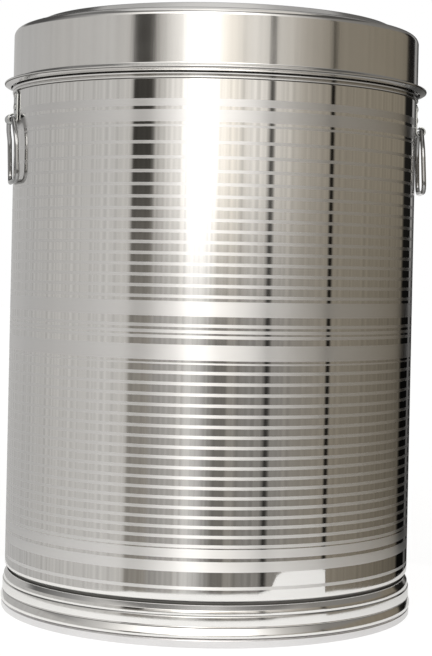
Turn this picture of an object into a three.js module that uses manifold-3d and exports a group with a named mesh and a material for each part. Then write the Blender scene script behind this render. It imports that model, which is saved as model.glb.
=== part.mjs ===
// Straight-sided stainless-steel milk can: a rolled drum body on a beaded base band,
// a deep cap lid with a hemmed rim, and two wire handles that swing in riveted clips.
// Millimetres, +Z up. The origin is the centre of the foot, on the surface the can stands on.
import * as THREE from 'three';
import { mergeVertices } from 'three/addons/utils/BufferGeometryUtils.js';
import Module from 'manifold-3d';

const wasm = await Module();
wasm.setup();

// Sheet metal
const SHEET = 0.8;
const GAP = 0.3;
const TURNS = 48;

// Body
const BODY_RADIUS = 150;
const SKIRT_RADIUS = 147;
const SKIRT_BOTTOM = 1.2;
const WALL_BOTTOM = 32;
const COLLAR_Z = 378.7;
const NECK_RADIUS = 149.4;
const NECK_BOTTOM = 384.2;
const MOUTH_CURL = { r: 147.2, z: 410, radius: 2.2 };
const FLOOR_Z = 14;

// Base band
const FOOT_INNER_RADIUS = 143;
const FOOT_RADIUS = 152.1;
const FOOT_WIRE = { r: 149.65, z: 2.35, radius: 1.2 };

// Lid
const LID_RADIUS = 151;
const LID_SHOULDER_Z = 420.5;
const LID_CORNER = 5.5;
const RIM_HEM = { r: 156.7, z: 386, radius: 1.1 };
const RIM_HEM_END = 152.6;
const PANEL_RADIUS = 127.5;
const PANEL_Z = 432;
const PANEL_SINK = 2.2;

// Handles: each clip stands at its own angle round the body, both a little to the front.
// The wires are set by hand. lean is how far the foot stands nearer to the wall than the top, wrap
// how far both legs are bent back round the wall, and skew how much further out the front leg of
// the left wire stands, with its rear leg as much further in.
const HANDLE_ANGLES = { left: 188, right: -8 };
const HANDLE_SETS = {
  left: { lean: 1.5, wrap: 1.3, skew: 0.7 },
  right: { lean: -1.8, wrap: 0, skew: 0 },
};
const CLIP_WIDTH = 14;
const CLIP_SHEET = 1;
const CLIP_TOP = 378.2;
const CLIP_STANDOFF = 0.4;
const BARREL_RADIUS = 3.7;
const PIVOT_R = BODY_RADIUS + CLIP_STANDOFF + BARREL_RADIUS;
const PIVOT_Z = 357.5;
const HANDLE_WIRE = 1.7;
const HANDLE_HALF_WIDTH = 20.5;
const HANDLE_DROP = 45.5;
const RIVET_HEIGHTS = { upper: 374.8, lower: 366.4 };
const RIVET_SHANK = 1.4;
const RIVET_HEAD = 2.6;
const PLATE = { face: 148.5, sheet: 1, width: 12, bottom: 362.5, top: 378 };

const STEEL = { color: 0xc4c2be, metalness: 1, roughness: 0.18 };
const WIRE_STEEL = { color: 0xb9b8b6, metalness: 1, roughness: 0.25 };
const RIVET_STEEL = { color: 0xa9a8a6, metalness: 1, roughness: 0.35 };

const can = new THREE.Group();

function addMesh(parent, name, geometry, look) {
  const mesh = new THREE.Mesh(geometry, new THREE.MeshStandardMaterial(look));
  mesh.name = name;
  parent.add(mesh);
  return mesh;
}

// Points [r, z] on a round stretch of an outline, both ends included.
function arc(centre, radius, fromDegrees, toDegrees, steps) {
  const points = [];
  for (let i = 0; i <= steps; i += 1) {
    const angle = THREE.MathUtils.degToRad(fromDegrees + (toDegrees - fromDegrees) * i / steps);
    points.push([centre.r + radius * Math.cos(angle), centre.z + radius * Math.sin(angle)]);
  }
  return points;
}

// The line set off to the left of its direction of travel, with mitred corners.
function offsetLeft(line, distance) {
  const normals = [];
  for (let i = 0; i + 1 < line.length; i += 1) {
    normals.push(new THREE.Vector2(line[i].y - line[i + 1].y, line[i + 1].x - line[i].x).normalize());
  }
  return line.map((point, i) => {
    const before = normals[Math.max(i - 1, 0)];
    const after = normals[Math.min(i, normals.length - 1)];
    const mitre = before.clone().add(after).normalize();
    return point.clone().addScaledVector(mitre, distance / mitre.dot(after));
  });
}

// A closed section of sheet metal, whose outer face is the line and whose metal is to its left.
function sheetSection(line, thickness = SHEET) {
  const outer = line.map(([r, z]) => new THREE.Vector2(r, z));
  const inner = offsetLeft(outer, thickness).reverse();
  return [...outer, ...inner];
}

function revolve(section, turns = TURNS) {
  const geometry = new THREE.LatheGeometry([...section, section[0]], turns);
  return geometry.rotateX(Math.PI / 2);
}

// A wire hoop that lies inside a curl.
function hoop(centre, wireRadius) {
  const section = arc(centre, wireRadius, 0, 360, 6).slice(0, -1);
  return revolve(section.map(([r, z]) => new THREE.Vector2(r, z)));
}

function toSolid(geometry) {
  const bare = geometry.clone();
  bare.deleteAttribute('normal');
  bare.deleteAttribute('uv');
  const merged = mergeVertices(bare, 1e-4);
  const vertProperties = Float32Array.from(merged.attributes.position.array);
  const triVerts = Uint32Array.from(merged.index.array);
  return new wasm.Manifold(new wasm.Mesh({ numProp: 3, vertProperties, triVerts }));
}

function toGeometry(solid) {
  const mesh = solid.getMesh();
  const geometry = new THREE.BufferGeometry();
  geometry.setAttribute('position', new THREE.BufferAttribute(mesh.vertProperties, 3));
  geometry.setIndex(new THREE.BufferAttribute(mesh.triVerts, 1));
  return geometry;
}

// Clearance holes for every rivet of one clip, along the clip's own radial X axis.
function cutRivetHoles(solid, angleDegrees) {
  let drilled = solid;
  for (const height of Object.values(RIVET_HEIGHTS)) {
    const drill = new THREE.CylinderGeometry(RIVET_SHANK + GAP, RIVET_SHANK + GAP, 12, 12);
    drill.rotateZ(Math.PI / 2).translate(BODY_RADIUS, 0, height);
    drill.rotateZ(THREE.MathUtils.degToRad(angleDegrees));
    drilled = drilled.subtract(toSolid(drill));
  }
  return drilled;
}

// One sheet from the skirt inside the base band to the wired mouth, with a double collar bead.
function bodyWall() {
  const line = [
    [SKIRT_RADIUS, SKIRT_BOTTOM],
    [SKIRT_RADIUS, WALL_BOTTOM - 3.2],
    [SKIRT_RADIUS + 1.3, WALL_BOTTOM - 2.2],
    [BODY_RADIUS, WALL_BOTTOM],
    [BODY_RADIUS, COLLAR_Z],
    [BODY_RADIUS + 1.9, COLLAR_Z + 0.4],
    [BODY_RADIUS + 2.6, COLLAR_Z + 1.2],
    [BODY_RADIUS + 1.9, COLLAR_Z + 2],
    [BODY_RADIUS + 3, COLLAR_Z + 2.9],
    [BODY_RADIUS + 2.6, COLLAR_Z + 4],
    [NECK_RADIUS, NECK_BOTTOM],
    ...arc(MOUTH_CURL, MOUTH_CURL.radius, 0, 250, 6),
  ];
  let wall = toSolid(revolve(sheetSection(line)));
  for (const angle of Object.values(HANDLE_ANGLES)) {
    wall = cutRivetHoles(wall, angle);
  }
  return toGeometry(wall);
}

// A shallow pan turned upside down: its floor is clear of the ground, its flange fits the skirt.
function bottomDisc() {
  const flangeRadius = SKIRT_RADIUS - SHEET - GAP;
  const line = [
    [flangeRadius, SKIRT_BOTTOM],
    [flangeRadius, FLOOR_Z - 2.5],
    [flangeRadius - 2.5, FLOOR_Z],
    [110, FLOOR_Z],
    [104, FLOOR_Z - 2],
    [0, FLOOR_Z - 2],
  ];
  return revolve(sheetSection(line));
}

// The stepped base band: an inward foot, a wired bottom ring, a middle bead and a sloping top edge.
function baseBand() {
  const line = [
    [FOOT_INNER_RADIUS, 0],
    [FOOT_RADIUS - 0.9, 0],
    [FOOT_RADIUS, 1],
    [FOOT_RADIUS, 5],
    [BODY_RADIUS + 0.7, 6.3],
    [BODY_RADIUS + 0.7, 7.1],
    [BODY_RADIUS + 2.6, 8.4],
    [BODY_RADIUS + 2.6, 9.4],
    [BODY_RADIUS + 1.3, 13.5],
    [BODY_RADIUS + 1.1, 20.8],
    [BODY_RADIUS + 0.7, 21.3],
    [BODY_RADIUS + 0.9, 21.9],
    [BODY_RADIUS + 0.3, 25],
    [BODY_RADIUS - 1.6, 28.4],
  ];
  return revolve(sheetSection(line));
}

// A deep cap: its rim turns out and is hemmed back under itself, and its top is a raised panel
// with a sunk centre.
function lidShell() {
  const shoulder = { r: LID_RADIUS - LID_CORNER, z: LID_SHOULDER_Z };
  const line = [
    [RIM_HEM_END, RIM_HEM.z - RIM_HEM.radius],
    ...arc(RIM_HEM, RIM_HEM.radius, -90, 90, 4),
    [LID_RADIUS + 1, RIM_HEM.z + RIM_HEM.radius + 0.5],
    [LID_RADIUS, RIM_HEM.z + RIM_HEM.radius + 1.5],
    ...arc(shoulder, LID_CORNER, 0, 90, 3),
    [PANEL_RADIUS + 10, PANEL_Z - 4.8],
    [PANEL_RADIUS + 3.5, PANEL_Z - 1],
    [PANEL_RADIUS, PANEL_Z],
    [PANEL_RADIUS - 7, PANEL_Z],
    [PANEL_RADIUS - 12, PANEL_Z - PANEL_SINK],
    [0, PANEL_Z - PANEL_SINK],
  ];
  return revolve(sheetSection(line));
}

// A strip of sheet that lies on the wall and rolls round the handle wire at its lower end.
function handleClip() {
  const back = BODY_RADIUS + CLIP_STANDOFF;
  const barrel = { r: PIVOT_R, z: PIVOT_Z };
  const line = [
    [back, CLIP_TOP],
    ...arc(barrel, BARREL_RADIUS, 180, 470, 10),
  ];
  const section = new THREE.Shape(sheetSection(line, CLIP_SHEET));
  const strip = new THREE.ExtrudeGeometry(section, { depth: CLIP_WIDTH, bevelEnabled: false });
  strip.rotateX(Math.PI / 2).translate(0, CLIP_WIDTH / 2, 0);
  return toGeometry(cutRivetHoles(toSolid(strip), 0));
}

function backingPlate() {
  const plate = new THREE.BoxGeometry(PLATE.sheet, PLATE.width, PLATE.top - PLATE.bottom);
  plate.translate(PLATE.face - PLATE.sheet / 2, 0, (PLATE.top + PLATE.bottom) / 2);
  return toGeometry(cutRivetHoles(toSolid(plate), 0));
}

// A domed head outside, a shank through clip, wall and plate, and a flat tail inside.
function rivet() {
  const headSeat = BODY_RADIUS + CLIP_STANDOFF + CLIP_SHEET + GAP;
  const tailSeat = PLATE.face - PLATE.sheet - GAP;
  const outline = [
    [0, tailSeat - 1],
    [RIVET_HEAD - 0.6, tailSeat - 1],
    [RIVET_HEAD - 0.2, tailSeat],
    [RIVET_SHANK, tailSeat],
    [RIVET_SHANK, headSeat],
    [RIVET_HEAD, headSeat],
    [RIVET_HEAD * 0.8, headSeat + 0.9],
    [0, headSeat + 1.3],
  ];
  const points = outline.map(([r, z]) => new THREE.Vector2(r, z));
  return new THREE.LatheGeometry(points, 12).rotateZ(-Math.PI / 2);
}

// Adds one corner of a bent wire to a path, rounded over the given length on each side.
function bend(path, corner, next, cut) {
  const here = path.currentPoint.clone();
  const entry = corner.clone().addScaledVector(here.sub(corner).normalize(), cut);
  const exit = corner.clone().addScaledVector(next.clone().sub(corner).normalize(), cut);
  path.lineTo(entry.x, entry.y);
  path.quadraticCurveTo(corner.x, corner.y, exit.x, exit.y);
}

// A stirrup of bent wire whose two ends meet inside the clip's barrel.
function handleWire({ lean, wrap, skew }) {
  const w = HANDLE_HALF_WIDTH;
  const halfSide = [[10, 0, 4], [w - 2, -14, 8], [w, -HANDLE_DROP, 9]];
  const otherSide = halfSide.map(([x, y, cut]) => [-x, y, cut]).reverse();
  const corners = [...halfSide, ...otherSide];
  const end = new THREE.Vector2(-GAP, 0);
  const path = new THREE.Path();
  path.moveTo(GAP, 0);
  corners.forEach(([x, y, cut], i) => {
    const next = i + 1 < corners.length ? new THREE.Vector2(...corners[i + 1]) : end;
    bend(path, new THREE.Vector2(x, y), next, cut);
  });
  path.lineTo(end.x, end.y);
  const route = path.getSpacedPoints(52).map((p) => {
    const share = THREE.MathUtils.smoothstep(-p.y, 2, 16);
    const inward = -lean * p.y / HANDLE_DROP + share * (wrap * (p.x / w) ** 2 - skew * p.x / w);
    return new THREE.Vector3(PIVOT_R - inward, p.x, PIVOT_Z + p.y);
  });
  const section = new THREE.Shape();
  section.absarc(0, 0, HANDLE_WIRE, 0, Math.PI * 2);
  return new THREE.ExtrudeGeometry(section, {
    curveSegments: 3,
    steps: 52,
    extrudePath: new THREE.CatmullRomCurve3(route),
  });
}

addMesh(can, 'body_wall', bodyWall(), STEEL);
addMesh(can, 'bottom_disc', bottomDisc(), STEEL);
addMesh(can, 'base_band', baseBand(), STEEL);
addMesh(can, 'foot_wire', hoop(FOOT_WIRE, FOOT_WIRE.radius), WIRE_STEEL);
addMesh(can, 'mouth_wire', hoop(MOUTH_CURL, MOUTH_CURL.radius - SHEET - GAP), WIRE_STEEL);
addMesh(can, 'lid_shell', lidShell(), STEEL);

for (const [side, angle] of Object.entries(HANDLE_ANGLES)) {
  const bracket = new THREE.Group();
  bracket.rotation.z = THREE.MathUtils.degToRad(angle);
  can.add(bracket);
  addMesh(bracket, `${side}_handle_clip`, handleClip(), STEEL);
  addMesh(bracket, `${side}_backing_plate`, backingPlate(), STEEL);
  for (const [place, height] of Object.entries(RIVET_HEIGHTS)) {
    const mesh = addMesh(bracket, `${side}_rivet_${place}`, rivet(), RIVET_STEEL);
    mesh.position.z = height;
  }
  addMesh(bracket, `${side}_handle_wire`, handleWire(HANDLE_SETS[side]), WIRE_STEEL);
}

export default can;
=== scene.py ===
"""Straight-sided stainless-steel milk can in a plain pale studio.

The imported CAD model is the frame. Each visible sheet-metal node is replaced by a fine revolved or
bent piece in the same place, and every piece rides on the body that its CAD node belongs to.
Outlines are (radius, height) pairs in millimetres, like the CAD sections.
"""
import math

import bmesh
import bpy
from mathutils import Matrix, Vector


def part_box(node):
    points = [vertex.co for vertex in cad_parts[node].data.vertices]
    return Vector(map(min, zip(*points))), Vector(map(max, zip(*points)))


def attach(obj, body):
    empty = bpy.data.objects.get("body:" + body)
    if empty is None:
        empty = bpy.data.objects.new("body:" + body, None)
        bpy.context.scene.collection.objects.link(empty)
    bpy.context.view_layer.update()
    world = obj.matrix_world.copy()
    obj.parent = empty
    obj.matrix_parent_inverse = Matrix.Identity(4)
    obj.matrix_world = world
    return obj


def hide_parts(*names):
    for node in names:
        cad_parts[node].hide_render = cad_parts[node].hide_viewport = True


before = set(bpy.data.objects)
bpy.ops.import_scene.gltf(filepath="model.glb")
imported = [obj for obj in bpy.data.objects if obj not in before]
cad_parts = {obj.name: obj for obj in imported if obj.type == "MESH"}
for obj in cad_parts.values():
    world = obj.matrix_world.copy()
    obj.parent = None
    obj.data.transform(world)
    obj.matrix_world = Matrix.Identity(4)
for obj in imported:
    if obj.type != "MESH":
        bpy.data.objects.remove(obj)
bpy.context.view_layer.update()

MM = 0.001
TURNS = 256

# Driving sizes, read from the frame
FOOT_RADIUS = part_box("base_band")[1].x / MM - 0.5
BODY_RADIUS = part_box("base_band")[1].x / MM - 2.6
MOUTH_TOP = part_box("body_wall")[1].z / MM
RIM_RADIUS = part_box("lid_shell")[1].x / MM
PANEL_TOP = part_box("lid_shell")[1].z / MM
FLOOR_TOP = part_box("bottom_disc")[1].z / MM

SHEET = 0.8
SKIRT_RADIUS = BODY_RADIUS - 3
SKIRT_BOTTOM = 1.2
SKIRT_STRAIGHT = 22
SKIRT_TOP = 29.6
NECK_RADIUS = BODY_RADIUS - 0.6
COLLAR_BOTTOM = 378
LID_RADIUS = BODY_RADIUS + 1
FOOT_FLANGE = 143
FOOT_WIRE = (149.65, 2.35)

# Camera, studio and stage
CAMERA_AZIMUTH = -8
CAMERA_DISTANCE = 8.46 * BODY_RADIUS * MM
CAMERA_HEIGHT = 0.2508
CAMERA_ROLL = 1.22
CAMERA_LENS = 92.58
CAMERA_SHIFT = (0.0063, -0.0882)


# ---------------------------------------------------------------- outlines

def arc(centre, radius, start, end, steps=10):
    """Points on a round stretch, from one angle to another in degrees, both ends included."""
    points = []
    for i in range(steps + 1):
        angle = math.radians(start + (end - start) * i / steps)
        points.append((centre[0] + radius * math.cos(angle), centre[1] + radius * math.sin(angle)))
    return points


def bead(start, end, height, steps=10):
    """A rounded rib between two points, standing out by height to the right of the way up."""
    along = Vector(end) - Vector(start)
    across = Vector((along.y, -along.x)).normalized()
    points = []
    for i in range(steps + 1):
        share = i / steps
        lift = height * math.sin(math.pi * share)
        points.append(tuple(Vector(start) + along * share + across * lift))
    return points


def straight(start, end, ease=0.25):
    """A straight stretch with a support point close to each end, so that shading stays flat."""
    along = (Vector(end) - Vector(start)).normalized() * ease
    return [start, tuple(Vector(start) + along), tuple(Vector(end) - along), end]


def offset_left(line, distance):
    """The line moved to the left of its direction of travel, with mitred corners."""
    points = [Vector(p) for p in line]
    normals = []
    for a, b in zip(points, points[1:]):
        normals.append(Vector((a.y - b.y, b.x - a.x)).normalized())
    moved = []
    for i, point in enumerate(points):
        before = normals[max(i - 1, 0)]
        after = normals[min(i, len(normals) - 1)]
        mitre = (before + after).normalized()
        moved.append(tuple(point + mitre * (distance / max(mitre.dot(after), 0.3))))
    return moved


def without_repeats(line, least=0.02):
    """The line without points that lie on the one before."""
    kept = [line[0]]
    for point in line[1:]:
        if (Vector(point) - Vector(kept[-1])).length > least:
            kept.append(point)
    return kept


# ---------------------------------------------------------------- mesh pieces

def new_piece(name, mesh, body, nodes, materials):
    """Links a mesh as a finished piece: materials, body and the CAD nodes it stands for."""
    piece = bpy.data.objects.new(name, mesh)
    bpy.context.scene.collection.objects.link(piece)
    for material in materials:
        mesh.materials.append(material)
    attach(piece, body)
    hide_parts(*nodes)


def lathe_mesh(name, outline, finish_of=None, sharp=32):
    """A closed mesh turned about the Z axis. The outline closes on itself, or starts and ends on
    the axis. finish_of gives a face ring's material index from its middle radius and height."""
    on_axis = abs(outline[0][0]) < 1e-6
    vertices = []
    rings = []
    for radius, height in outline:
        if abs(radius) < 1e-6:
            rings.append([len(vertices)] * TURNS)
            vertices.append((0, 0, height * MM))
            continue
        rings.append(list(range(len(vertices), len(vertices) + TURNS)))
        for i in range(TURNS):
            angle = 2 * math.pi * i / TURNS
            vertices.append((radius * math.cos(angle) * MM, radius * math.sin(angle) * MM, height * MM))
    pairs = [(i, i + 1) for i in range(len(outline) - 1)]
    if not on_axis:
        pairs.append((len(outline) - 1, 0))
    faces = []
    finishes = []
    for low, high in pairs:
        middle = [(a + b) / 2 for a, b in zip(outline[low], outline[high])]
        finish = finish_of(*middle) if finish_of else 0
        for i in range(TURNS):
            j = (i + 1) % TURNS
            corners = [rings[low][i], rings[low][j], rings[high][j], rings[high][i]]
            faces.append(list(dict.fromkeys(corners)))
            finishes.append(finish)
    mesh = bpy.data.meshes.new(name)
    mesh.from_pydata(vertices, [], faces)
    mesh.polygons.foreach_set("material_index", finishes)
    mesh.polygons.foreach_set("use_smooth", [True] * len(faces))
    mesh.set_sharp_from_angle(angle=math.radians(sharp))
    mesh.update()
    return mesh


def sheet_mesh(name, outer, inner, outside=None, inside=0, sharp=32):
    """Sheet metal turned about Z, from its outer line and its inner line, both going the same way."""
    outline = without_repeats(outer) + list(reversed(without_repeats(inner)))
    last_outer = len(without_repeats(outer)) - 1
    counter = iter(range(len(outline)))

    def finish(radius, height):
        if next(counter) < last_outer and outside:
            return outside(radius, height)
        return inside

    return lathe_mesh(name, outline, finish, sharp)


def add_hoop(name, centre, radius, body, material):
    """A closed ring of round wire. centre is its section's middle, as radius and height."""
    outline = arc(centre, radius, 0, 360, 16)[:-1]
    new_piece(name, lathe_mesh(name, outline), body, [name[4:]], [material])


# ---------------------------------------------------------------- satin rings on the body

RING_WIDTH = 2.2
BROAD_RINGS = ((359.6, 364.7), (349.3, 357.4), (345.9, 347.5), (219.7, 229.8), (190.5, 200.9),
               (187.7, 188.9), (59.4, 65.3), (50.1, 57.1), (38.3, 40.5))
FINE_RINGS = (213.6, 209.6, 206.1)
UPPER_RUN = {"first": 335.6, "count": 14, "pitch": 7.05, "widening": 3.0, "fade": 3.2}
LOWER_RUN = {"first": 182.2, "count": 18, "pitch": 4.95, "widening": 2.34, "fade": 30}


def satin_rings():
    """(low, high) heights of every ring that is left satin between the polished stretches."""
    rings = list(BROAD_RINGS)
    centres = list(FINE_RINGS)
    for run in (UPPER_RUN, LOWER_RUN):
        height = run["first"]
        for i in range(run["count"]):
            centres.append(height)
            height -= run["pitch"] + run["widening"] * math.exp(-i / run["fade"])
    rings += [(centre - RING_WIDTH / 2, centre + RING_WIDTH / 2) for centre in centres]
    return sorted(rings)


# ---------------------------------------------------------------- can body

MIRROR, SATIN, MILL, SHADED_CREASE = 0, 1, 2, 3
MOUTH_CURL = (NECK_RADIUS - 2.2, MOUTH_TOP - 2.2)
WALL_EDGE = 3
WALL_EDGE_HEIGHT = 33
COLLAR_VALLEY = COLLAR_BOTTOM + 2.3
COLLAR_TOP = COLLAR_BOTTOM + 4.4


def body_wall(materials):
    """The wall from the skirt inside the base band to the wired mouth, with the collar's two beads."""
    rings = satin_rings()
    edge = (BODY_RADIUS - WALL_EDGE, WALL_EDGE_HEIGHT)
    foot = [(SKIRT_RADIUS, SKIRT_BOTTOM),
            *straight((SKIRT_RADIUS, 2), (SKIRT_RADIUS, SKIRT_STRAIGHT)), (SKIRT_RADIUS, SKIRT_TOP)]
    wall = [(BODY_RADIUS, height) for ring in rings for height in ring]
    lower_bead = bead((BODY_RADIUS, COLLAR_BOTTOM + 0.3), (BODY_RADIUS + 0.8, COLLAR_VALLEY), 1.2)
    upper_bead = bead((BODY_RADIUS + 0.8, COLLAR_VALLEY + 0.3), (BODY_RADIUS + 0.5, COLLAR_TOP), 1.3)
    neck = straight((NECK_RADIUS, COLLAR_TOP + 0.8), (NECK_RADIUS, MOUTH_CURL[1]))
    outer = [*foot, *arc(edge, WALL_EDGE, -80, 0), (BODY_RADIUS, edge[1] + 0.3), *wall,
             (BODY_RADIUS, COLLAR_BOTTOM - 0.6), (BODY_RADIUS, COLLAR_BOTTOM - 0.2),
             (BODY_RADIUS - 0.05, COLLAR_BOTTOM),
             *lower_bead, *upper_bead, *neck, *arc(MOUTH_CURL, 2.2, 0, 250, 20)]
    inner = offset_left([(SKIRT_RADIUS, SKIRT_BOTTOM), (SKIRT_RADIUS, SKIRT_TOP),
                         *arc(edge, WALL_EDGE, -80, 0, 6), (BODY_RADIUS, COLLAR_BOTTOM),
                         (BODY_RADIUS + 1.2, COLLAR_BOTTOM + 1.1), (BODY_RADIUS + 0.7, COLLAR_VALLEY),
                         (BODY_RADIUS + 1.3, COLLAR_TOP - 0.9), (NECK_RADIUS, COLLAR_TOP + 0.8),
                         *arc(MOUTH_CURL, 2.2, 0, 250, 20)], SHEET)

    def outside(radius, height):
        # Painted shade: the skirt's recess under the wall's rounded foot, the collar's creases and the gap
        # under the lid's rim take the dark crease steel.
        if SKIRT_STRAIGHT < height < SKIRT_TOP + 0.2 or abs(height - COLLAR_VALLEY - 0.15) < 0.16:
            return SHADED_CREASE
        if abs(height - COLLAR_BOTTOM) < 0.19 or COLLAR_TOP < height < COLLAR_TOP + 1:
            return SHADED_CREASE
        if height < SKIRT_STRAIGHT or radius < MOUTH_CURL[0] + 2:
            return MILL
        return SATIN if any(low < height < high for low, high in rings) else MIRROR

    mesh = sheet_mesh("can_body_wall", outer, inner, outside, MILL)
    new_piece("can_body_wall", mesh, "can", ["body_wall"], materials)


BAND, BAND_SHADED_CREASE, BAND_RING = 0, 1, 2
BAND_CREASES = (6.3, 13.5, 21.3)
BAND_RING_TOP = 6


def base_band(materials):
    """The stepped band: a rolled ring, a bead, an upright stretch and a sloping top edge."""
    foot = FOOT_RADIUS - 1.2
    ring = [*straight((FOOT_FLANGE, 0), (foot, 0)), *arc((foot, 1.2), 1.2, -80, 0, 6),
            *straight((FOOT_RADIUS, 1.3), (FOOT_RADIUS, 4.8)), *arc((foot, 4.8), 1.2, 10, 50, 4)]
    r = BODY_RADIUS
    middle = [(r + 0.7, 6.1), (r + 0.5, 6.4), (r + 2.1, 6.7), *arc((r + 2.2, 7.1), 0.4, -70, 0, 4),
              (r + 2.6, 7.3), (r + 2.58, 8.7), (r + 2.5, 9), (r + 2.42, 9.2),
              (r + 1.5, 12.9), (r + 1.3, 13.2), (r + 1.3, 13.6), (r + 1.5, 13.9)]
    upper = [(r + 1.4, 14.3), (r + 1.4, 14.6), (r + 1.4, 20.3), (r + 1.35, 20.6),
             (r + 1.15, 20.85), (r + 0.85, 21.1), (r + 0.85, 21.5),
             (r + 0.95, 21.8), (r + 0.35, 24.6), *arc((r - 0.45, 24.5), 0.8, 12, 31, 3),
             (r - 1.4, 27.7), *arc((r - 1.8, 27.6), 0.5, 31, 90, 4)]
    outer = ring + middle + upper
    inner = offset_left([(FOOT_FLANGE, 0), (foot, 0), (FOOT_RADIUS, 1.3), (FOOT_RADIUS, 5), (r + 0.8, 6.5),
                         (r + 2.6, 8.6), (r + 1.4, 13.5), (r + 1.1, 20.8), (r + 0.9, 21.6),
                         (r + 0.35, 24.8), (r - 1.3, 27.8)], SHEET)

    def outside(radius, height):
        # Painted shade along the band's three creases.
        if min(abs(height - shaded_crease) for shaded_crease in BAND_CREASES) < 0.21:
            return BAND_SHADED_CREASE
        return BAND_RING if height < BAND_RING_TOP else BAND

    mesh = sheet_mesh("can_base_band", outer, inner, outside)
    new_piece("can_base_band", mesh, "can", ["base_band"], materials)


def bottom_disc(material):
    """The upturned pan that closes the can, a little above the floor."""
    flange = SKIRT_RADIUS - SHEET - 0.3
    shoulder = (flange - 2.5, FLOOR_TOP - 2.5)
    outer = [(flange, SKIRT_BOTTOM), (flange, FLOOR_TOP - 2.6), *arc(shoulder, 2.5, 0, 90, 8),
             (flange - 3, FLOOR_TOP), (110.4, FLOOR_TOP), (109.6, FLOOR_TOP - 0.1),
             (104.4, FLOOR_TOP - 1.9), (103.6, FLOOR_TOP - 2), (0, FLOOR_TOP - 2)]
    inner = offset_left(outer, SHEET)
    inner[-1] = (0, FLOOR_TOP - 2 - SHEET)
    mesh = sheet_mesh("can_bottom_disc", outer, inner)
    new_piece("can_bottom_disc", mesh, "can", ["bottom_disc"], [material])


# ---------------------------------------------------------------- lid

HEM_RADIUS = 1
RIM_HEM = (RIM_RADIUS - HEM_RADIUS - 0.3, 385.5)
RIM_HEM_END = (152.8, 383)
RIM_HEM_BEND = (156.8, 384.55)
LID_CORNER_RADIUS = 5.5
LID_CORNER = (LID_RADIUS - LID_CORNER_RADIUS, PANEL_TOP - 11.5)
PANEL_SINK = 2.2
PANEL_FOOT = (137.4, 138.4)
LID, LIP, LID_INSIDE, LID_SHADED_CREASE = 0, 1, 2, 3


def lid_shell(materials):
    """The cap: a hemmed rim, an upright skirt, a round shoulder and a raised panel, sunk inside."""
    top = PANEL_TOP
    sunk = top - PANEL_SINK
    hem = [*straight(RIM_HEM_END, RIM_HEM_BEND), *arc(RIM_HEM, HEM_RADIUS, -64, 90, 12)]
    turn = arc((LID_RADIUS + 1.9, RIM_HEM[1] + 3.3), 1.9, 262, 180, 8)
    skirt = straight((LID_RADIUS, RIM_HEM[1] + 3.5), (LID_RADIUS, LID_CORNER[1]))
    riser = [(142, top - 5.8), (138.2, top - 5), (137.6, top - 4.9), (137, top - 4.5)]
    panel = [*arc((131, top - 4), 3.5, 55, 82, 5), (127.5, top - 0.1), (124, top), (120.5, top),
             *arc((120.5, top - 3), 3, 90, 125, 5), *arc((115.3, sunk + 3), 3, 300, 270, 5),
             (66.3, sunk)]
    ribs = [*reversed(bead((61, sunk), (66, sunk), -0.7)), (60.7, sunk), (8.3, sunk), (0, sunk)]
    outer = [*hem, *turn, *skirt, *arc(LID_CORNER, LID_CORNER_RADIUS, 0, 86, 14), *riser, *panel, *ribs]
    inner = offset_left([RIM_HEM_END, RIM_HEM_BEND, *arc(RIM_HEM, HEM_RADIUS, -64, 90, 6),
                         *arc((LID_RADIUS + 1.9, RIM_HEM[1] + 3.3), 1.9, 262, 180, 3),
                         *arc(LID_CORNER, LID_CORNER_RADIUS, 0, 86, 8), (138, top - 5),
                         (132, top - 0.9), (127.5, top - 0.1), (120, top), (115.3, sunk),
                         (0, sunk)], SHEET)
    inner[-1] = (0, sunk - SHEET)

    def outside(radius, height):
        # Painted shade: a thin dark line under the hem's roll and a dark ring round the panel's foot.
        if RIM_HEM[1] - 0.95 < height < RIM_HEM[1] - 0.5 and radius > RIM_HEM[0]:
            return LID_SHADED_CREASE
        if height < RIM_HEM[1] - 0.8:
            return LIP
        return LID_SHADED_CREASE if PANEL_FOOT[0] < radius < PANEL_FOOT[1] else LID

    mesh = sheet_mesh("lid_cap", outer, inner, outside, LID_INSIDE)
    new_piece("lid_cap", mesh, "lid", ["lid_shell"], materials)


# ---------------------------------------------------------------- handles

HANDLE_ANGLES = {"left": 188, "right": -8}
HANDLE_SETS = {"left": {"lean": 1.5, "wrap": 1.3, "skew": 0.7},
               "right": {"lean": -1.7, "wrap": 0, "skew": 0}}
CLIP_STANDOFF = 0.4
CLIP_TOP = 378.2
CLIP_HALF_WIDTH = 7
CLIP_SHEET = 1
CLIP_CORNER = 4
BARREL = 3.7
PIVOT = (BODY_RADIUS + CLIP_STANDOFF + BARREL, 357.5)
WIRE_RADIUS = 1.7
HANDLE_HALF_WIDTH = 20.5
HANDLE_DROP = 45.5
ROUTE_STEP = 2.5
RIVET_HEIGHTS = {"upper": 374.8, "lower": 366.4}
RIVET_HEAD = 2.6
PLATE_FACE = 148.5


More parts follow.
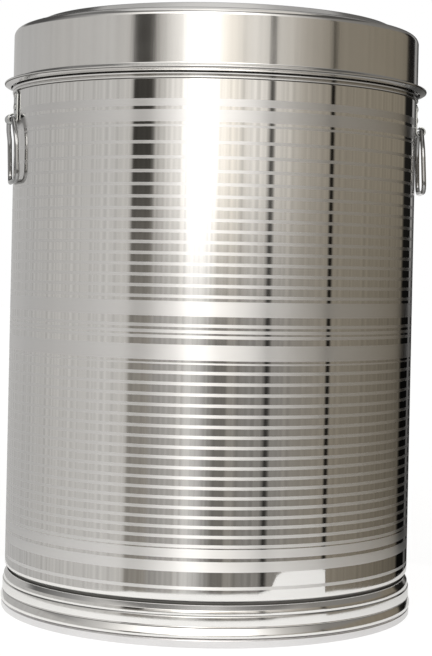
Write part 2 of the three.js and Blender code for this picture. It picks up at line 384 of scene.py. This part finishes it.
def handle_route(lean, wrap, skew):
    """Points along the handle wire in the clip's own axes: radial, sideways and up. lean is how far
    the foot stands nearer to the wall than the top, wrap how far both legs bend back round the wall,
    and skew how much further out one leg stands and the other further in."""
    w = HANDLE_HALF_WIDTH
    half = [((10, 0), 4), ((w - 2, -14), 8), ((w, -HANDLE_DROP), 9)]
    corners = half + [((-x, y), cut) for (x, y), cut in reversed(half)]
    flat = [Vector((0.3, 0))]
    for i, (corner, cut) in enumerate(corners):
        corner = Vector(corner)
        after = Vector(corners[i + 1][0]) if i + 1 < len(corners) else Vector((-0.3, 0))
        entry = corner + (flat[-1] - corner).normalized() * cut
        leave = corner + (after - corner).normalized() * cut
        reach = (entry - flat[-1]).length
        for _ in range(1, max(int(reach / ROUTE_STEP), 1)):
            flat.append(flat[-1] + (entry - flat[-1]).normalized() * ROUTE_STEP)
        for step in range(13):
            t = step / 12
            flat.append(entry * (1 - t) ** 2 + corner * 2 * t * (1 - t) + leave * t * t)
    flat.append(Vector((-0.3, 0)))
    route = []
    for p in flat:
        share = min(max((-p.y - 2) / 14, 0), 1)
        share = share * share * (3 - 2 * share)
        sideways = wrap * (p.x / w) ** 2 - skew * p.x / w
        inward = -lean * p.y / HANDLE_DROP + share * sideways
        route.append(Vector((PIVOT[0] - inward, p.x, PIVOT[1] + p.y)) * MM)
    return route


def sweep_mesh(name, route, radius, sides=20):
    """A round wire along a route that stays close to one upright plane, closed at both ends."""
    vertices = []
    for i, point in enumerate(route):
        along = (route[min(i + 1, len(route) - 1)] - route[max(i - 1, 0)]).normalized()
        across = along.cross(Vector((1, 0, 0))).normalized()
        outward = across.cross(along)
        for j in range(sides):
            angle = 2 * math.pi * j / sides
            vertices.append(point + (across * math.cos(angle) + outward * math.sin(angle)) * radius)
    faces = [list(range(sides - 1, -1, -1)), list(range(len(vertices) - sides, len(vertices)))]
    for i in range(len(route) - 1):
        for j in range(sides):
            k = (j + 1) % sides
            faces.append([i * sides + j, i * sides + k, (i + 1) * sides + k, (i + 1) * sides + j])
    mesh = bpy.data.meshes.new(name)
    mesh.from_pydata(vertices, [], faces)
    mesh.polygons.foreach_set("use_smooth", [len(p.vertices) == 4 for p in mesh.polygons])
    mesh.update()
    return mesh


def soften(mesh, width, angle=40, segments=2):
    """Rounds every edge of a mesh that is sharper than the angle."""
    bm = bmesh.new()
    bm.from_mesh(mesh)
    bmesh.ops.recalc_face_normals(bm, faces=bm.faces)
    sharp = [e for e in bm.edges if e.is_manifold and e.calc_face_angle(0) > math.radians(angle)]
    bmesh.ops.bevel(bm, geom=sharp, offset=width * MM, segments=segments, profile=0.5,
                    affect="EDGES", clamp_overlap=True)
    bmesh.ops.recalc_face_normals(bm, faces=bm.faces)
    bm.to_mesh(mesh)
    bm.free()
    mesh.polygons.foreach_set("use_smooth", [True] * len(mesh.polygons))
    mesh.set_sharp_from_angle(angle=math.radians(35))
    mesh.update()
    return mesh


def clip_mesh(name):
    """A strap that lies on the wall and rolls round the handle wire."""
    back = BODY_RADIUS + CLIP_STANDOFF
    line = [(back, CLIP_TOP - drop) for drop in (0, 0.3, 0.8, 1.5, 2.5, 4)]
    line += [(back, PIVOT[1] + 6), *arc(PIVOT, BARREL, 180, 470, 36)]
    inner = offset_left(line, CLIP_SHEET)
    vertices = []
    for i, (outer_point, inner_point) in enumerate(zip(line, inner)):
        drop = CLIP_TOP - outer_point[1] if i < 6 else CLIP_CORNER
        level = CLIP_CORNER - min(drop, CLIP_CORNER)
        rounding = CLIP_CORNER - math.sqrt(max(CLIP_CORNER ** 2 - level ** 2, 0))
        half = CLIP_HALF_WIDTH - rounding
        for radius, height in (outer_point, inner_point):
            vertices += [Vector((radius, -half, height)) * MM, Vector((radius, half, height)) * MM]
    faces = [[0, 1, 3, 2], [len(vertices) - k for k in (2, 1, 3, 4)]]
    finishes = [0, 0]
    barrel_start = 7
    for row in range(len(line) - 1):
        a, b = row * 4, row * 4 + 4
        faces += [[a, b, b + 1, a + 1], [a + 2, a + 3, b + 3, b + 2],
                  [a, a + 2, b + 2, b], [a + 1, b + 1, b + 3, a + 3]]
        # The strap's back, the barrel's lower side towards the wall and the barrel's inside take the dark
        # crease steel: painted shade.
        finishes += [int(row < barrel_start + 9), int(row >= barrel_start), 0, 0]
    mesh = bpy.data.meshes.new(name)
    mesh.from_pydata(vertices, [], faces)
    mesh.polygons.foreach_set("material_index", finishes)
    return soften(mesh, 0.25)


def plate_mesh(name):
    """A small plate with rounded corners that spreads the rivets' load inside the wall."""
    bm = bmesh.new()
    bmesh.ops.create_cube(bm, size=1)
    low, high = (v * (1 / MM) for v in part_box("left_backing_plate"))
    size = Vector((1, 12, high.z - low.z)) * MM
    centre = Vector((PLATE_FACE - 0.5, 0, (high.z + low.z) / 2)) * MM
    for v in bm.verts:
        v.co = Vector(a * b for a, b in zip(v.co, size)) + centre
    corners = [e for e in bm.edges if abs(e.verts[0].co.x - e.verts[1].co.x) > 0.5 * MM]
    bmesh.ops.bevel(bm, geom=corners, offset=2.5 * MM, segments=6, profile=0.5, affect="EDGES")
    mesh = bpy.data.meshes.new(name)
    bm.to_mesh(mesh)
    bm.free()
    return soften(mesh, 0.2, 60)


def rivet_mesh(name, height):
    """A domed head outside, a shank, and a low tail inside, along the clip's radial axis."""
    seat = BODY_RADIUS + CLIP_STANDOFF + 1.05
    tail = PLATE_FACE - 1.05
    outline = [(0, tail - 1), *arc((1.6, tail - 0.4), 0.6, -90, 0, 4), (2.3, tail), (1.4, tail),
               (1.4, seat), (RIVET_HEAD - 0.1, seat), (RIVET_HEAD, seat + 0.15)]
    dome = [(RIVET_HEAD * math.cos(math.radians(a)), seat + 0.15 + 1.15 * math.sin(math.radians(a)))
            for a in range(10, 90, 10)]
    mesh = lathe_mesh(name, outline + dome + [(0, seat + 1.3)])
    mesh.transform(Matrix.Translation((0, 0, height * MM)) @ Matrix.Rotation(math.pi / 2, 4, "Y"))
    return mesh


def add_handle(side, steel):
    """One handle with its clip, rivets and backing plate, turned to its place round the body."""
    turn = Matrix.Rotation(math.radians(HANDLE_ANGLES[side]), 4, "Z")
    fixed = [(f"{side}_handle_clip", clip_mesh, "clip_steel", ("clip", "shaded_crease")),
             (f"{side}_backing_plate", plate_mesh, "inner_steel", ("mill",))]
    for node, make, slot, looks in fixed:
        mesh = make(f"can_{node}")
        mesh.transform(turn)
        new_piece(f"can_{node}", mesh, "can", [node], [steel[look] for look in looks])
    for place, height in RIVET_HEIGHTS.items():
        node = f"{side}_rivet_{place}"
        mesh = rivet_mesh(f"can_{node}", height)
        mesh.transform(turn)
        new_piece(f"can_{node}", mesh, "can", [node], [steel["rivet"]])
    name = f"{side}_handle_ring"
    mesh = sweep_mesh(name, handle_route(**HANDLE_SETS[side]), WIRE_RADIUS * MM)
    mesh.transform(turn)
    new_piece(name, mesh, f"{side}_handle", [f"{side}_handle_wire"], [steel["wire"]])


# ---------------------------------------------------------------- materials

def node(tree, kind, **values):
    """Adds a node. A value named like an input socket sets it, and any other is a node property."""
    made = tree.nodes.new(kind)
    for key, value in values.items():
        if key in made.inputs:
            made.inputs[key].default_value = value
        else:
            setattr(made, key, value)
    return made


def steel_material(name, color, roughness, grain, grain_depth, wear=0.02, stain=0.06, turned=0):
    """Bare stainless steel. grain is the noise scale along X, Y and Z per metre, grain_depth its
    height in millimetres, wear how far the roughness wanders and stain how far the tone does.
    turned stretches the highlights up and down, across grooves that run round the can."""
    material = bpy.data.materials.new(name)
    material.use_nodes = True
    tree = material.node_tree
    links = tree.links
    shader = tree.nodes["Principled BSDF"]
    shader.inputs["Metallic"].default_value = 1
    if turned:
        shader.inputs["Anisotropic"].default_value = turned
        shader.inputs["Anisotropic Rotation"].default_value = 0.25
        round_axis = node(tree, "ShaderNodeTangent", direction_type="RADIAL", axis="Z")
        links.new(round_axis.outputs["Tangent"], shader.inputs["Tangent"])
    place = node(tree, "ShaderNodeTexCoord")
    stretch = node(tree, "ShaderNodeMapping", Scale=grain)
    links.new(place.outputs["Object"], stretch.inputs["Vector"])
    fine = node(tree, "ShaderNodeTexNoise", Scale=1, Detail=3, Roughness=0.6)
    links.new(stretch.outputs["Vector"], fine.inputs["Vector"])
    bump = node(tree, "ShaderNodeBump", Strength=1, Distance=grain_depth * MM)
    links.new(fine.outputs["Fac"], bump.inputs["Height"])
    links.new(bump.outputs["Normal"], shader.inputs["Normal"])
    cloud = node(tree, "ShaderNodeTexNoise", Scale=14, Detail=4, Roughness=0.65)
    links.new(place.outputs["Object"], cloud.inputs["Vector"])
    rough = node(tree, "ShaderNodeMapRange")
    for key, value in (("From Min", 0.3), ("From Max", 0.7),
                       ("To Min", roughness - wear), ("To Max", roughness + wear)):
        rough.inputs[key].default_value = value
    links.new(cloud.outputs["Fac"], rough.inputs["Value"])
    links.new(rough.outputs["Result"], shader.inputs["Roughness"])
    tone = node(tree, "ShaderNodeValToRGB")
    ramp = tone.color_ramp
    ramp.elements[0].position = 0.3
    ramp.elements[0].color = (*[c * (1 - stain) for c in color], 1)
    ramp.elements[1].position = 0.7
    ramp.elements[1].color = (*color, 1)
    links.new(cloud.outputs["Fac"], tone.inputs["Fac"])
    links.new(tone.outputs["Color"], shader.inputs["Base Color"])
    return material


STEEL = {
    "mirror": steel_material("mirror_steel", (0.80, 0.79, 0.775), 0.045, (25, 25, 25), 0.02, 0.01, 0.03),
    "satin": steel_material("satin_steel", (0.88, 0.87, 0.86), 0.34, (60, 60, 5200), 0.006, 0.03, 0.06, 0.95),
    "mill": steel_material("mill_steel", (0.70, 0.70, 0.69), 0.38, (1500, 1500, 60), 0.006, 0.05),
    "lid": steel_material("lid_steel", (0.80, 0.79, 0.775), 0.12, (260, 260, 9), 0.02, 0.02),
    "base": steel_material("base_steel", (0.82, 0.81, 0.795), 0.10, (40, 40, 1500), 0.004, 0.02),
    "ring": steel_material("ring_steel", (0.74, 0.73, 0.735), 0.22, (40, 40, 1500), 0.004, 0.04, 0.1),
    "lip": steel_material("lip_steel", (0.84, 0.83, 0.815), 0.15, (900, 900, 900), 0.004, 0.03),
    # The wire steel is darkened to stand in for the dark surroundings that the thin polished wires mirror:
    # painted dark reflection.
    "wire": steel_material("wire_steel", (0.42, 0.42, 0.42), 0.09, (900, 900, 900), 0.006, 0.03, 0.35),
    "clip": steel_material("clip_steel", (0.60, 0.61, 0.60), 0.20, (700, 700, 120), 0.01, 0.05, 0.2),
    "rivet": steel_material("rivet_steel", (0.60, 0.60, 0.59), 0.30, (1500, 1500, 1500), 0.01, 0.05),
    # Dark steel for creases, gaps and the clip barrel's inside: painted shade where these hollows hold
    # shadow.
    "shaded_crease": steel_material("painted_crease_shade", (0.17, 0.165, 0.155), 0.45, (900, 900, 900), 0.01, 0.1, 0.4),
}


# ---------------------------------------------------------------- pieces

body_wall([STEEL["mirror"], STEEL["satin"], STEEL["mill"], STEEL["shaded_crease"]])
base_band([STEEL["base"], STEEL["shaded_crease"], STEEL["ring"]])
bottom_disc(STEEL["mill"])
lid_shell([STEEL["lid"], STEEL["lip"], STEEL["mill"], STEEL["shaded_crease"]])
add_hoop("can_foot_wire", FOOT_WIRE, 1.2, "can", STEEL["wire"])
add_hoop("can_mouth_wire", MOUTH_CURL, 1.1, "can", STEEL["wire"])
for side in HANDLE_ANGLES:
    add_handle(side, STEEL)


# ---------------------------------------------------------------- studio

# Soft panels and dark gaps round the can: degrees from the camera to the right, tone of the part
# above the can's middle, tone of the part below, and how warm the panel is.
PANELS = (
    (-180, 0.66, 1.0, 0.01), (-173, 0.66, 0.66, 0.01), (-125, 0.65, 0.65, 0.01), (-95, 0.67, 0.68, 0.02),
    (-60, 0.70, 0.71, 0.02), (-46.6, 0.70, 0.69, 0.03), (-45.8, 0.22, 0.48, 0.06),
    (-34, 0.24, 0.51, 0.07), (-33, 0.62, 0.54, 0.04), (-24, 0.82, 0.59, 0.03),
    (-17, 0.98, 0.67, 0.03), (-12, 1.25, 0.78, 0.02), (-5, 1.25, 0.66, 0.02),
    (-1, 1.20, 0.54, 0.03), (2, 1.02, 0.42, 0.05), (8, 0.93, 0.40, 0.06), (11, 0.89, 0.52, 0.06),
    (20, 0.85, 0.47, 0.04), (38, 0.74, 0.49, 0.05), (50, 0.61, 0.48, 0.08), (70, 0.48, 0.46, 0.12),
    (110, 0.45, 0.37, 0.14), (134, 0.42, 0.31, 0.14), (137, 0.12, 0.06, 0.05),
    (151, 0.10, 0.06, 0.05), (153, 0.62, 0.36, 0.02), (159, 0.40, 0.18, 0.02),
    (164, 0.16, 0.12, 0.02), (171, 0.42, 0.46, 0.02), (178, 0.66, 1.0, 0.01),
)
# Above the panels: degrees, tone of the lamps, of the dark beams over them and of the ceiling, warmth.
CEILING = (
    (-180, 0.30, 0.75, 0.80, 0.01), (-120, 0.30, 0.42, 0.80, 0.01), (-85, 0.55, 0.42, 0.82, 0.01),
    (-60, 0.75, 0.42, 0.84, 0.02), (-36, 1.05, 0.45, 0.98, 0.02), (-22, 1.25, 0.55, 1.0, 0.02),
    (-10, 1.55, 0.65, 1.02, 0.02), (6, 1.50, 0.70, 1.02, 0.02), (18, 1.35, 0.60, 0.95, 0.02),
    (30, 1.0, 0.50, 0.90, 0.02), (45, 0.75, 0.40, 0.85, 0.03), (70, 0.48, 0.32, 0.80, 0.04),
    (130, 0.42, 0.28, 0.78, 0.04), (175, 0.30, 0.75, 0.80, 0.01),
)
# Thin dark seams in the panels: degrees, half width, share of the light that is left.
SEAMS = ((15, 0.7, 0.70), (31, 1.3, 0.10), (68.4, 1.2, 0.04))
STEEL_TONE = 0.79
HORIZON = (-0.06, 0.08)
# Fine upright streaks in the panels: the noise's scale, then noise from and to, light from and to.
STREAKS = 160
STREAK_TONES = (0.3, 0.7, 0.86, 1.12)
# The part of the floor that the steel mirrors: degrees from the camera to the right, reach in metres.
NEAR_FLOOR = ((-180, 0.250), (-88, 0.273), (-66, 0.293), (-40, 0.318), (-30, 0.330), (0, 0.337),
              (22, 0.337), (28, 0.350), (32, 0.410), (36, 0.432), (45, 0.440), (52, 0.435),
              (57, 0.414), (54.7, 0.349), (53.2, 0.316), (60, 0.313), (76, 0.298), (90, 0.284),
              (102, 0.279), (150, 0.265), (180, 0.250))
# Its light: the middle tone, and what it gains towards the right and away from the camera.
NEAR_FLOOR_TONE = 0.65
NEAR_FLOOR_GAIN = (-0.055, -0.235, 0)
# Heights of a direction, as its sine, that each layer fades in between.
LAMP_BOTTOM = (0.26, 0.36)
BEAM_BOTTOM = (0.62, 0.70)
BEAM_TOP = (0.84, 0.91)
# The far floor: the two heights it fades in between, then degrees, tone, warmth.
FAR_FLOOR = (-0.30, -0.45)
FAR_FLOOR_TONES = ((-120, 0.78, 0.01), (-45, 0.82, 0.01), (-15, 1.0, 0.01), (15, 0.95, 0.01),
                   (60, 0.62, 0.02), (150, 0.55, 0.02), (179, 0.75, 0.01))
STAGE_RADIUS = 9


def panel_color(tone, warmth):
    """Light that a steel wall mirrors as the given display tone."""
    level = tone ** 2.2 / STEEL_TONE
    return (level * (1 + warmth), level, level * (1 - 1.6 * warmth), 1)


def color_by_direction(tree, share, stops):
    """A ramp of (degrees from the camera to the right, colour) stops round the can."""
    ramp_node = node(tree, "ShaderNodeValToRGB")
    ramp = ramp_node.color_ramp
    while len(ramp.elements) < len(stops):
        ramp.elements.new(1)
    for element, (degrees, color) in zip(ramp.elements, stops):
        element.position = (degrees + 180) / 360
        element.color = color
    tree.links.new(share, ramp_node.inputs["Fac"])
    return ramp_node.outputs["Color"]


def panel_ramp(tree, share, panels, column):
    """The colours round the can from one column of tones in a table of panels."""
    stops = [(panel[0], panel_color(panel[column], panel[-1])) for panel in panels]
    return color_by_direction(tree, share, stops)


def seam_ramp(tree, share):
    """White with a dark notch at each seam."""
    white = (1, 1, 1, 1)
    stops = []
    for degrees, half, left in SEAMS:
        dark = (left, left, left, 1)
        stops += [(degrees - half - 0.3, white), (degrees - half, dark),
                  (degrees + half, dark), (degrees + half + 0.3, white)]
    return color_by_direction(tree, share, stops)


def height_mix(tree, height, edges, below, above):
    """One colour up to the first height, the other from the second height on."""
    start, end = edges
    blend = node(tree, "ShaderNodeMapRange", interpolation_type="SMOOTHSTEP")
    blend.inputs["From Min"].default_value = min(start, end)
    blend.inputs["From Max"].default_value = max(start, end)
    if start > end:
        blend.inputs["To Min"].default_value = 1
        blend.inputs["To Max"].default_value = 0
    tree.links.new(height, blend.inputs["Value"])
    layer = node(tree, "ShaderNodeMix", data_type="RGBA")
    tree.links.new(blend.outputs["Result"], layer.inputs["Factor"])
    tree.links.new(below, layer.inputs[6])
    tree.links.new(above, layer.inputs[7])
    return layer.outputs[2]


def studio_world():
    """Pale studio walls that the steel mirrors, dark beams, a bright ceiling and a pale far floor."""
    world = bpy.data.worlds.new("studio")
    bpy.context.scene.world = world
    world.use_nodes = True
    tree = world.node_tree
    links = tree.links
    azimuth = math.radians(CAMERA_AZIMUTH)
    place = node(tree, "ShaderNodeTexCoord")
    sideways = node(tree, "ShaderNodeVectorMath", operation="DOT_PRODUCT")
    sideways.inputs[1].default_value = (math.cos(azimuth), math.sin(azimuth), 0)
    towards = node(tree, "ShaderNodeVectorMath", operation="DOT_PRODUCT")
    towards.inputs[1].default_value = (math.sin(azimuth), -math.cos(azimuth), 0)
    turn = node(tree, "ShaderNodeMath", operation="ARCTAN2")
    for part, slot in ((sideways, 0), (towards, 1)):
        links.new(place.outputs["Generated"], part.inputs[0])
        links.new(part.outputs["Value"], turn.inputs[slot])
    share_node = node(tree, "ShaderNodeMapRange")
    share_node.inputs["From Min"].default_value = -math.pi
    share_node.inputs["From Max"].default_value = math.pi
    links.new(turn.outputs[0], share_node.inputs["Value"])
    share = share_node.outputs["Result"]
    split = node(tree, "ShaderNodeSeparateXYZ")
    links.new(place.outputs["Generated"], split.inputs[0])
    height = split.outputs["Z"]
    color = height_mix(tree, height, HORIZON, panel_ramp(tree, share, PANELS, 2),
                       panel_ramp(tree, share, PANELS, 1))
    streaks = node(tree, "ShaderNodeTexNoise", noise_dimensions="1D", Scale=STREAKS, Detail=3)
    links.new(share, streaks.inputs["W"])
    strength = node(tree, "ShaderNodeMapRange")
    for key, value in zip(("From Min", "From Max", "To Min", "To Max"), STREAK_TONES):
        strength.inputs[key].default_value = value
    links.new(streaks.outputs["Fac"], strength.inputs["Value"])
    streaked = node(tree, "ShaderNodeVectorMath", operation="SCALE")
    links.new(color, streaked.inputs[0])
    links.new(strength.outputs["Result"], streaked.inputs["Scale"])
    seamed = node(tree, "ShaderNodeVectorMath", operation="MULTIPLY")
    links.new(streaked.outputs["Vector"], seamed.inputs[0])
    links.new(seam_ramp(tree, share), seamed.inputs[1])
    color = seamed.outputs["Vector"]
    color = height_mix(tree, height, LAMP_BOTTOM, color, panel_ramp(tree, share, CEILING, 1))
    color = height_mix(tree, height, BEAM_BOTTOM, color, panel_ramp(tree, share, CEILING, 2))
    color = height_mix(tree, height, BEAM_TOP, color, panel_ramp(tree, share, CEILING, 3))
    color = height_mix(tree, height, FAR_FLOOR, color, panel_ramp(tree, share, FAR_FLOOR_TONES, 1))
    links.new(color, tree.nodes["Background"].inputs["Color"])


def stage_piece(name, bm, material):
    """Links a mesh as part of the stage, which isn't part of the can."""
    mesh = bpy.data.meshes.new(name)
    bm.to_mesh(mesh)
    bm.free()
    mesh.materials.append(material)
    piece = bpy.data.objects.new(name, mesh)
    bpy.context.scene.collection.objects.link(piece)
    return piece


def near_floor_look():
    """The pale floor as the steel mirrors it: a sheet that glows with painted light, brighter on the camera's
    side.
    """
    look = bpy.data.materials.new("mirrored_floor")
    look.use_nodes = True
    tree = look.node_tree
    shader = tree.nodes["Principled BSDF"]
    shader.inputs["Base Color"].default_value = (0.3, 0.3, 0.297, 1)
    shader.inputs["Roughness"].default_value = 0.9
    shader.inputs["Emission Color"].default_value = (1, 1, 0.99, 1)
    place = node(tree, "ShaderNodeTexCoord")
    outward = node(tree, "ShaderNodeVectorMath", operation="NORMALIZE")
    gain = node(tree, "ShaderNodeVectorMath", operation="DOT_PRODUCT")
    gain.inputs[1].default_value = NEAR_FLOOR_GAIN
    tone = node(tree, "ShaderNodeMath", operation="ADD")
    tone.inputs[1].default_value = NEAR_FLOOR_TONE
    tree.links.new(place.outputs["Object"], outward.inputs[0])
    tree.links.new(outward.outputs["Vector"], gain.inputs[0])
    tree.links.new(gain.outputs["Value"], tone.inputs[0])
    tree.links.new(tone.outputs[0], shader.inputs["Emission Strength"])
    return look


def pale_stage():
    """A pale floor, which the steel mirrors only near the can, and a white dome behind it all."""
    look = bpy.data.materials.new("pale_floor")
    look.use_nodes = True
    shader = look.node_tree.nodes["Principled BSDF"]
    shader.inputs["Base Color"].default_value = (0.26, 0.26, 0.257, 1)
    shader.inputs["Roughness"].default_value = 0.9
    shader.inputs["Emission Color"].default_value = (1, 1, 1, 1)
    shader.inputs["Emission Strength"].default_value = 0.84
    bm = bmesh.new()
    bmesh.ops.create_circle(bm, cap_ends=True, segments=96, radius=STAGE_RADIUS)
    floor = stage_piece("studio_floor", bm, look)
    floor.location.z = -0.0004
    floor.visible_glossy = False
    bm = bmesh.new()
    rim = []
    for (start, near), (end, far) in zip(NEAR_FLOOR, NEAR_FLOOR[1:]):
        steps = max(math.ceil((end - start) / 3), 1)
        for i in range(steps):
            angle = math.radians(start + (end - start) * i / steps)
            reach = near + (far - near) * i / steps
            rim.append(bm.verts.new((reach * math.sin(angle), -reach * math.cos(angle), 0)))
    bm.faces.new(rim)
    near_floor = stage_piece("near_floor", bm, near_floor_look())
    near_floor.location.z = -0.0002
    near_floor.visible_camera = False
    near_floor.visible_diffuse = False
    near_floor.visible_shadow = False
    near_floor.rotation_euler.z = math.radians(CAMERA_AZIMUTH)
    glow = bpy.data.materials.new("white_dome")
    glow.use_nodes = True
    light = node(glow.node_tree, "ShaderNodeEmission", Strength=1.0)
    glow.node_tree.links.new(light.outputs[0], glow.node_tree.nodes["Material Output"].inputs["Surface"])
    bm = bmesh.new()
    bmesh.ops.create_uvsphere(bm, u_segments=48, v_segments=24, radius=STAGE_RADIUS)
    dome = stage_piece("studio_dome", bm, glow)
    dome.visible_glossy = False
    dome.visible_diffuse = False
    dome.visible_shadow = False


def add_camera():
    """The camera, a little above the can's middle and a little to the left of its front."""
    azimuth = math.radians(CAMERA_AZIMUTH)
    data = bpy.data.cameras.new("camera")
    data.lens = CAMERA_LENS
    data.shift_x, data.shift_y = CAMERA_SHIFT
    camera = bpy.data.objects.new("camera", data)
    bpy.context.scene.collection.objects.link(camera)
    turn = (Matrix.Rotation(azimuth, 4, "Z") @ Matrix.Rotation(math.pi / 2, 4, "X")
            @ Matrix.Rotation(math.radians(CAMERA_ROLL), 4, "Z"))
    place = Vector((math.sin(azimuth) * CAMERA_DISTANCE, -math.cos(azimuth) * CAMERA_DISTANCE,
                    CAMERA_HEIGHT))
    camera.matrix_world = Matrix.Translation(place) @ turn
    bpy.context.scene.camera = camera


studio_world()
pale_stage()
add_camera()
bpy.context.scene.view_settings.view_transform = "Standard"
